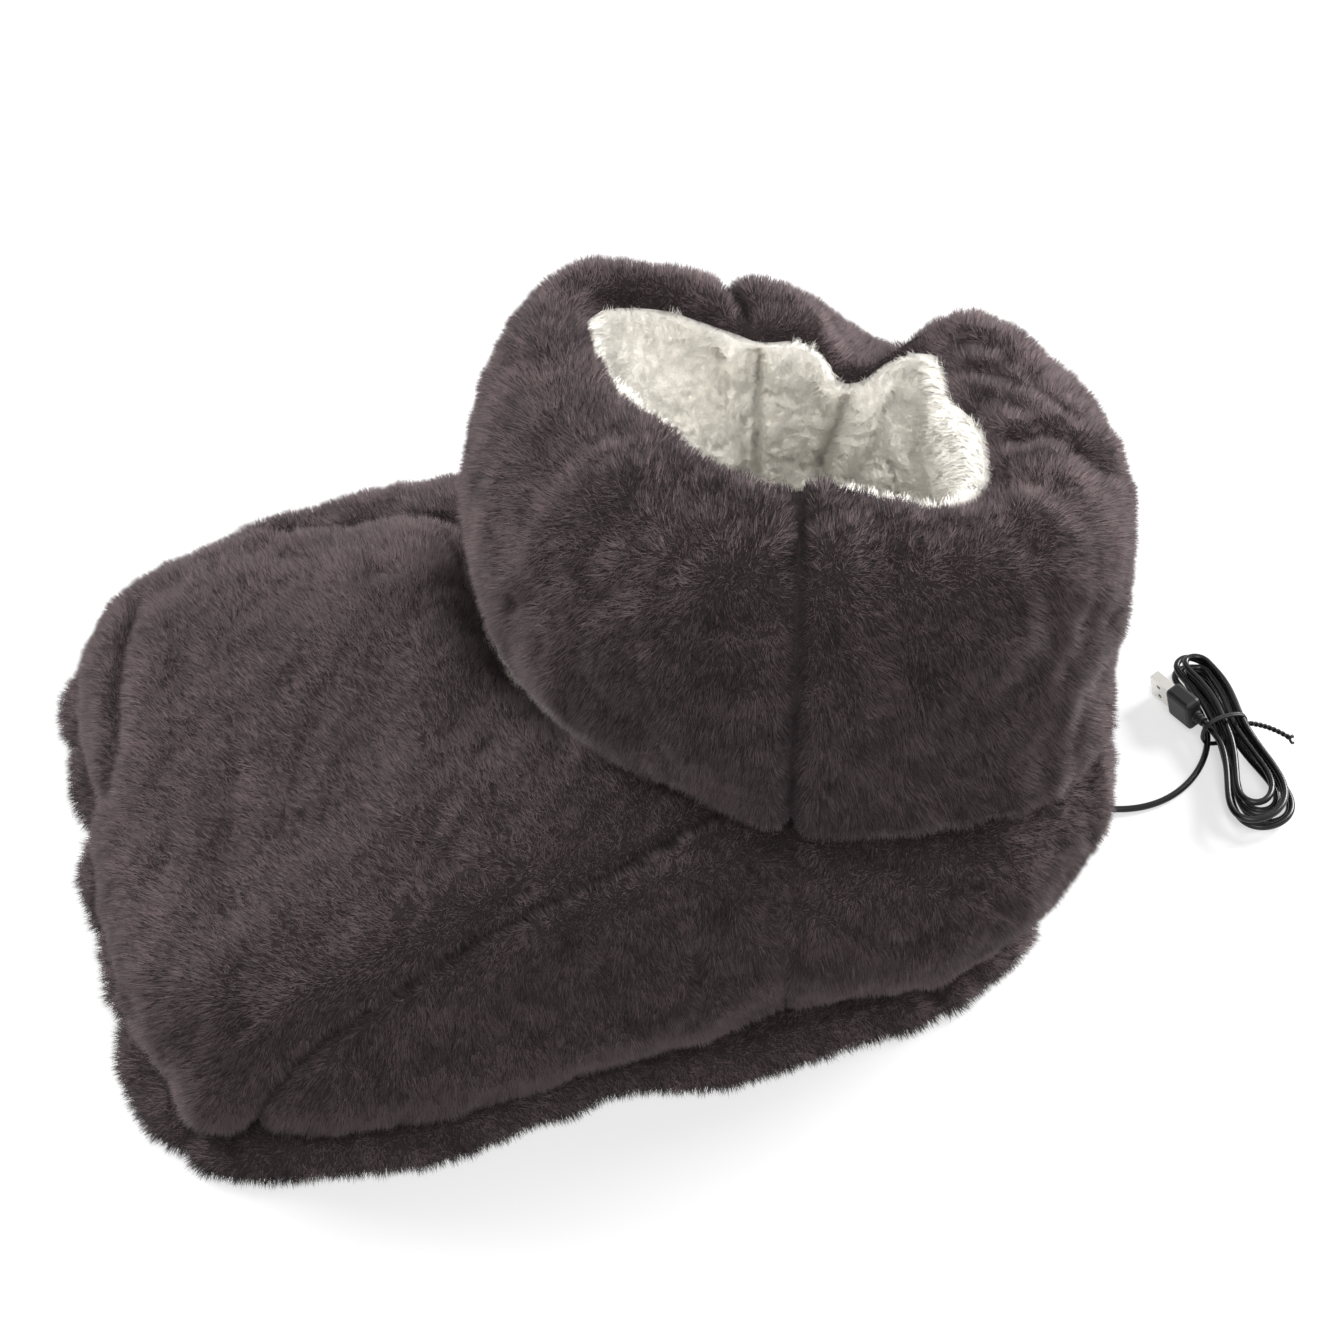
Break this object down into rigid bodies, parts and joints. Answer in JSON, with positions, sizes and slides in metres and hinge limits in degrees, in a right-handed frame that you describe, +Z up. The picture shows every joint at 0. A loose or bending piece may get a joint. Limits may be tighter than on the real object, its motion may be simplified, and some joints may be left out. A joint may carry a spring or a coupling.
{
  "type": "heated slippers",
  "caption": "Wide plush boot for both feet with a fleece-lined cuff, a flat heating pad in its sole and a USB lead tied in a hank.",
  "frame": {"origin": "centre of the boot's bounding box in plan, at the floor", "axes": "+Z up, the toe points along -Y, and +X is the wearer's left"},
  "size_m": [0.3146, 0.4981, 0.2362],
  "materials": {
    "plush": "long grey-brown plush pile",
    "wadding": "soft polyester wadding",
    "fleece": "cream curly fleece",
    "outsole": "cream woven sole cloth",
    "foam": "soft closed-cell foam",
    "felt": "thin felt",
    "heater": "silicone-covered heating wire",
    "white_plastic": "white moulded plastic",
    "red_pvc": "smooth red wire jacket",
    "black_pvc": "satin black cable jacket",
    "nickel": "nickel plated",
    "brass": "gold-coloured contact"
  },
  "bodies": {
    "root": {"vamp_plush": "plush", "vamp_wadding": "wadding", "vamp_lining": "fleece", "side_left_plush": "plush", "side_left_wadding": "wadding", "side_left_lining": "fleece", "side_right_plush": "plush", "side_right_wadding": "wadding", "side_right_lining": "fleece", "heel_left_plush": "plush", "heel_left_wadding": "wadding", "heel_left_lining": "fleece", "heel_right_plush": "plush", "heel_right_wadding": "wadding", "heel_right_lining": "fleece", "cuff_plush_front": "plush", "cuff_filling_front": "wadding", "cuff_lining_front": "fleece", "cuff_plush_back": "plush", "cuff_filling_back": "wadding", "cuff_lining_back": "fleece", "sole_border_plush": "plush", "outsole_fabric": "outsole", "sole_foam": "foam", "insole_fleece": "fleece", "heater_cover_bottom": "felt", "heater_cover_top": "felt", "heating_wire": "heater", "thermal_cutoff": "white_plastic", "crimp_sleeve_left": "white_plastic", "crimp_sleeve_right": "white_plastic", "lead_core_left": "red_pvc", "lead_core_right": "black_pvc", "lead_inside": "black_pvc", "strain_relief": "black_pvc", "lead_run": "black_pvc", "lead_hank": "black_pvc", "hank_tie": "black_pvc", "usb_shell": "nickel", "usb_tongue": "white_plastic", "usb_contact_1": "brass", "usb_contact_2": "brass", "usb_contact_3": "brass", "usb_contact_4": "brass", "usb_grip": "black_pvc", "usb_boot": "black_pvc"}
  },
  "joints": []
}
